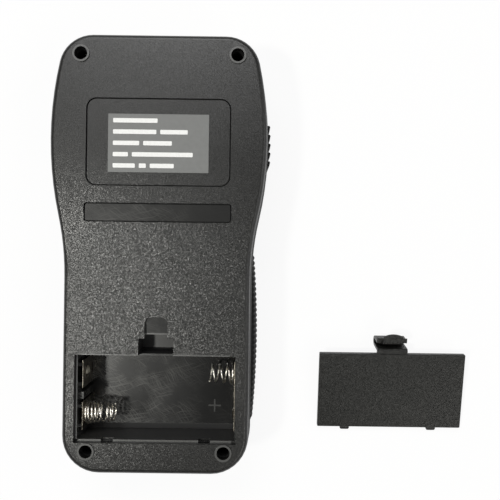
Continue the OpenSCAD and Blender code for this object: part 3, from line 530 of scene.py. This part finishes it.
def wound_spring(node, pitches, towards):
    """Cone coil in a node's box: a circle of wire carried round, each turn rising by its share of pitches."""
    low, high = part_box(node)
    axis_y = (low.y + high.y) / 2
    axis_z = (low.z + high.z) / 2
    reach = np.concatenate([[0.0], np.cumsum(pitches)])
    reach *= (high.x - low.x - WIRE) / reach[-1]
    whole = len(pitches)
    t = np.linspace(0, whole, whole * STEPS_PER_TURN + 1)[:, None]
    b = np.linspace(0, 2 * np.pi, POINTS_ROUND_WIRE, endpoint=False)[None, :]
    advance = np.interp(t, np.arange(whole + 1), reach)
    radius = (SPRING_BASE + (SPRING_TIP - SPRING_BASE) * np.minimum(1, t / (whole - 1)) - WIRE) / 2
    wire_radius = radius + WIRE / 2 * np.cos(b)
    x = WIRE / 2 + advance + WIRE / 2 * np.sin(b)
    x = low.x + x if towards > 0 else high.x - x
    angle = 2 * np.pi * t
    y = axis_y + towards * wire_radius * np.cos(angle)
    z = axis_z + wire_radius * np.sin(angle)
    piece = skin(node + "_wound", [np.stack([x, y, z], axis=-1)], spring_wire)
    piece.data.polygons.foreach_set("use_smooth", np.ones(len(piece.data.polygons), dtype=bool))
    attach(piece, "case")
    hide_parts(node)


wound_spring("spring_negative", [0.8, 1.2, 1.25, 1.3, 2.7, 1.25, 1.25], 1)
wound_spring("spring_bridge", [0.8, 2.6, 2.9, 2.4], -1)


# Battery door, taken off: one ABS moulding with two hooks on its lower edge and a folded spring latch on its
# upper edge. It leans on the fold of its latch.
DOOR_BLACK = (0.004, 0.004, 0.0035, 1)
DOOR_FLECK = (0.02, 0.02, 0.0175, 1)
door_plastic = moulded_plastic(
    "door_plastic", DOOR_BLACK, DOOR_FLECK, grain=CASE_GRAIN, depth=0.45, roughness=0.37, shine=0.42
)
finished_copy("battery_door", 0.14 * MM, door_plastic)


# Rubber grips: two black pads moulded with fine notched cross ribs on a bowed face. Each is held in a seat on
# a flank of the front shell.
RUBBER_BLACK = (0.003, 0.003, 0.003, 1)
RUBBER_DUST = (0.014, 0.014, 0.014, 1)
KNURL_PITCH = 1.95 * MM
KNURL_DEPTH = 0.45 * MM
GRIP_BOW = 1.45 * MM
GRIP_STEPS = (420, 60)


def grip_rubber_material():
    """Black rubber, dusty in patches, with a dry sheen."""
    material, tree, shader, place = new_material("grip_rubber")
    dust = noise(tree, place, 420.0, 4.0)
    spots = ramp(tree, dust, 0.5, 0.8)
    tree.links.new(mix_colour(tree, spots, RUBBER_BLACK, RUBBER_DUST), shader.inputs["Base Color"])
    tree.links.new(mix_value(tree, dust, 0.45, 0.75), shader.inputs["Roughness"])
    shader.inputs["Specular IOR Level"].default_value = 0.2
    return material


grip_rubber = grip_rubber_material()


def knurled_grip(node, side):
    """Bowed bar: at each step along Y a section across Z, ribbed by |sin| in Y and notched by |sin| in Z."""
    low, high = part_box(node)
    depth = high.x - low.x
    half_y = (high.y - low.y) / 2
    y = np.linspace(low.y, high.y, GRIP_STEPS[0])[:, None]
    z = np.linspace(low.z, high.z, GRIP_STEPS[1])[None, :]
    u = (y - (low.y + high.y) / 2) / half_y
    v = (z - (low.z + high.z) / 2) / ((high.z - low.z) / 2)
    bow = depth - GRIP_BOW * u * u
    edge = 1 - 0.28 * v * v - 0.2 * np.abs(v) ** 7
    rim = np.clip((1 - np.abs(v)) * 6, 0, 1) * np.clip((1 - np.abs(u)) * 40, 0, 1)
    wave = np.abs(np.sin(np.pi * y / KNURL_PITCH)) * (0.6 + 0.4 * np.abs(np.sin(np.pi * z / KNURL_PITCH)))
    out = bow * edge - KNURL_DEPTH * (1 - wave * rim)
    x = low.x + out if side > 0 else high.x - out
    face = np.stack(np.broadcast_arrays(x, y, z), axis=-1)
    back_x = low.x if side > 0 else high.x
    first = face[:, :1].copy()
    last = face[:, -1:].copy()
    first[..., 0] = back_x
    last[..., 0] = back_x
    piece = skin(node + "_knurled", [np.concatenate([first, face, last], axis=1)], grip_rubber)
    piece.data.polygons.foreach_set("use_smooth", np.ones(len(piece.data.polygons), dtype=bool))
    piece.data.set_sharp_from_angle(angle=math.radians(50))
    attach(piece, "case")
    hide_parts(node)


knurled_grip("grip_right", 1)
knurled_grip("grip_left", -1)


# Display: a clear window glued in the front, the glass cell behind it, a white light guide and two conductive
# rubber strips that press the glass against the board.
def clear_material(name, colour, roughness):
    """Clear sheet with faint smears in its roughness."""
    material, tree, shader, place = new_material(name)
    smear = noise(tree, place, 120.0, 3.0)
    tree.links.new(mix_value(tree, smear, roughness, roughness + 0.08), shader.inputs["Roughness"])
    shader.inputs["Base Color"].default_value = colour
    shader.inputs["Transmission Weight"].default_value = 0.9
    shader.inputs["IOR"].default_value = 1.49
    return material


def speckled_material(name, first, second, scale, low_rough, high_rough):
    """Plain moulded or printed surface: two close tones mixed by noise."""
    material, tree, shader, place = new_material(name)
    speckle = noise(tree, place, scale, 3.0)
    tree.links.new(mix_colour(tree, speckle, first, second), shader.inputs["Base Color"])
    tree.links.new(mix_value(tree, speckle, low_rough, high_rough), shader.inputs["Roughness"])
    return material


clear_window = clear_material("clear_window", (0.86, 0.90, 0.90, 1), 0.04)
display_cell = speckled_material(
    "display_glass", (0.22, 0.26, 0.19, 1), (0.25, 0.29, 0.22, 1), 300.0, 0.1, 0.18
)
white_plastic = speckled_material(
    "white_plastic", (0.72, 0.72, 0.68, 1), (0.80, 0.80, 0.76, 1), 500.0, 0.35, 0.5
)
strip_rubber = speckled_material(
    "strip_rubber", (0.40, 0.38, 0.34, 1), (0.50, 0.48, 0.43, 1), 900.0, 0.6, 0.8
)
finished_copy("display_window", 0.2 * MM, clear_window)
finished_copy("display_glass", 0.1 * MM, display_cell)
finished_copy("display_backlight", 0.1 * MM, white_plastic)
finished_copy("display_strips", 0.1 * MM, strip_rubber)


# Keys: six satin black moulded caps on the front, with white pad-printed signs. Each slides in its own hole
# and is pushed back by its switch.
KEYS = ["power", "light", "up", "mode", "zero", "down"]
SIGN_THICK = 0.02 * MM
ARROW_RADIUS = 2.0 * MM
DISC_RADIUS = 1.7 * MM
LINE_HALF = 2.0 * MM
LINE_PITCH = 1.3 * MM
SUN_RADIUS = 1.1 * MM
RAY_REACH = 1.9 * MM
RAY_RADIUS = 0.28 * MM
KEY_BLACK = (0.020, 0.020, 0.021, 1)
KEY_FLECK = (0.034, 0.034, 0.035, 1)
key_plastic = moulded_plastic("key_plastic", KEY_BLACK, KEY_FLECK, grain=2600.0, depth=0.2, roughness=0.45)
sign_ink = print_material()
sign_ink.name = "key_ink"


def ring_loop(x, y, radius, corners, turn=0.0):
    """Closed loop of points on a circle; three corners make a triangle."""
    angle = turn + np.linspace(0, 2 * np.pi, corners, endpoint=False)
    return np.stack([x + radius * np.cos(angle), y + radius * np.sin(angle)], axis=1)


def sign_loops(name, x, y):
    """Outlines of one key's sign: a triangle for up and down, a disc, three bars, a sun of dots or a bar."""
    if name == "up":
        return [ring_loop(x, y, ARROW_RADIUS, 3, math.pi / 2)]
    if name == "down":
        return [ring_loop(x, y, ARROW_RADIUS, 3, -math.pi / 2)]
    if name == "zero":
        return [ring_loop(x, y, DISC_RADIUS, 40)]
    if name == "mode":
        lines = [y + i * LINE_PITCH for i in (-1, 0, 1)]
        return [round_bar(x - LINE_HALF, x + LINE_HALF, line, 0.7 * MM, 0.2 * MM) for line in lines]
    if name == "light":
        rays = np.arange(8) * np.pi / 4
        spots = [(x + RAY_REACH * math.cos(a), y + RAY_REACH * math.sin(a)) for a in rays]
        return [ring_loop(*spot, RAY_RADIUS, 12) for spot in spots] + [ring_loop(x, y, SUN_RADIUS, 32)]
    return [round_bar(x - 0.35 * MM, x + 0.35 * MM, y, 2 * LINE_HALF, 0.3 * MM)]


for key in KEYS:
    finished_copy("key_" + key, 0.12 * MM, key_plastic)
    key_low, key_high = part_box("key_" + key)
    loops = sign_loops(key, (key_low.x + key_high.x) / 2, (key_low.y + key_high.y) / 2)
    levels = [key_low.z - 0.5 * SIGN_THICK, key_low.z + 0.5 * SIGN_THICK]
    sign = skin("sign_" + key, [lift(loop, levels) for loop in loops], sign_ink)
    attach(sign, "button_" + key)


# Plungers and switches: white moulded pins under the keys, and the black tactile switches that they push. The
# switches are soldered to the front of the board.
switch_plastic = speckled_material(
    "switch_plastic", (0.014, 0.014, 0.015, 1), (0.024, 0.024, 0.026, 1), 1500.0, 0.4, 0.55
)
for key in KEYS:
    finished_copy("plunger_" + key, 0.1 * MM, white_plastic)
finished_copy("key_switches", 0.1 * MM, switch_plastic)


# Main board: glass laminate under green solder mask, held by four screws. The measuring chips, moulded in
# black resin, are soldered to its back.
board_laminate = speckled_material(
    "board_laminate", (0.010, 0.075, 0.032, 1), (0.016, 0.105, 0.046, 1), 700.0, 0.22, 0.4
)
chip_resin = speckled_material(
    "chip_resin", (0.012, 0.012, 0.013, 1), (0.022, 0.022, 0.023, 1), 2600.0, 0.5, 0.65
)
bright_steel = plain_metal("bright_steel", (0.60, 0.60, 0.61, 1), 0.3, 0.3)
finished_copy("main_board", 0.05 * MM, board_laminate)
finished_copy("board_chips", 0.1 * MM, chip_resin)
finished_copy("board_screws", 0.1 * MM, bright_steel)


# Zero block: a ground steel disc of known thickness, glued in a pocket of the front. The probe is set on it
# to bring the reading to zero.
finished_copy("zero_block", 0.25 * MM, bright_steel)


# Probe sockets: turned and plated brass, each clamped in the end wall by a hexagon nut. A white insulator
# holds the pin in the middle of each.
socket_brass = plain_metal("socket_brass", (0.62, 0.53, 0.34, 1), 0.26, 0.15)
for socket_node in ("probe_socket_left", "probe_socket_right", "socket_nuts", "socket_pins"):
    finished_copy(socket_node, 0.1 * MM, socket_brass)
finished_copy("socket_insulators", 0.1 * MM, white_plastic)


# Studio: a white table under soft lamps, the main one to the left and three weaker ones round it. The camera
# looks straight down on the back of the gauge.
TABLE_HALF = 30.0
CAMERA_AT = (31.8 * MM, 1.95 * MM, 248.6 * MM)
CAMERA_TURN = math.radians(0.75)
FOCAL_PIXELS = 634.0
FRAME_PIXELS = 500.0
SENSOR_WIDTH = 36.0
WARM = (1.0, 0.995, 0.94)


def table_material():
    """White table: bright to the camera and to reflections, plain white for light, so it keeps the shadow."""
    material, tree, shader, place = new_material("table")
    shader.inputs["Base Color"].default_value = (0.9, 0.9, 0.9, 1)
    shader.inputs["Roughness"].default_value = 0.9
    glow = put(tree, "Emission", {"Color": (1, 1, 1, 1), "Strength": 1.0})
    path = put(tree, "LightPath", {}).outputs
    seen = maths(tree, "MAXIMUM", path["Is Camera Ray"], path["Is Glossy Ray"])
    seen = maths(tree, "MAXIMUM", seen, path["Is Transmission Ray"])
    share = maths(tree, "MULTIPLY", seen, 0.9)
    blend = put(tree, "MixShader", {0: share, 1: shader.outputs[0], 2: glow.outputs[0]})
    tree.links.new(blend.outputs[0], tree.nodes["Material Output"].inputs["Surface"])
    return material


corner = np.array([-TABLE_HALF, TABLE_HALF])
table_grid = np.stack(np.broadcast_arrays(corner[:, None], corner[None, :], np.array([[0.0]])), axis=-1)
table = skin("table", [table_grid], table_material(), wrap=False)


def soft_light(name, place, aim, size, power, tint=(1, 1, 1)):
    """Square area lamp at place, turned to aim."""
    lamp = bpy.data.lights.new(name, "AREA")
    lamp.color = tint
    lamp.size = size
    lamp.energy = power
    held = bpy.data.objects.new(name, lamp)
    bpy.context.scene.collection.objects.link(held)
    held.location = place
    held.rotation_euler = (Vector(aim) - Vector(place)).to_track_quat("-Z", "Y").to_euler()


soft_light("key_light", (-0.36, -0.11, 0.86), (0.02, 0.0, 0.02), 0.08, 3.95, WARM)
soft_light("top_fill", (-0.12, 0.55, 0.80), (0.0, 0.03, 0.02), 0.5, 4.0)
soft_light("right_fill", (0.36, -0.40, 0.62), (0.10, -0.05, 0.0), 0.3, 1.0, WARM)
soft_light("side_fill", (0.72, 0.05, 0.60), (0.03, 0.0, 0.02), 0.6, 1.6)

# Sky that grows a little towards the top and is white near the horizon, for low views
world = bpy.data.worlds.new("studio")
bpy.context.scene.world = world
world.use_nodes = True
sky_tree = world.node_tree
sky = sky_tree.nodes["Background"]
sky.inputs["Color"].default_value = (1, 1, 1, 1)
heading = put(sky_tree, "SeparateXYZ", {0: put(sky_tree, "TexCoord", {}).outputs["Generated"]}).outputs["Z"]
rise = ramp(sky_tree, heading, 0.0, 1.0, 0.03, 0.17)
horizon = ramp(sky_tree, heading, 0.0, 0.3, 1.0, 0.0)
sky_tree.links.new(maths(sky_tree, "MAXIMUM", rise, horizon), sky.inputs["Strength"])

camera = bpy.data.objects.new("camera", bpy.data.cameras.new("camera"))
bpy.context.scene.collection.objects.link(camera)
camera.location = CAMERA_AT
camera.rotation_euler = (0, 0, CAMERA_TURN)
camera.data.sensor_width = SENSOR_WIDTH
camera.data.lens = FOCAL_PIXELS / FRAME_PIXELS * SENSOR_WIDTH
camera.data.clip_start = 0.01
bpy.context.scene.camera = camera
bpy.context.scene.view_settings.view_transform = "Standard"
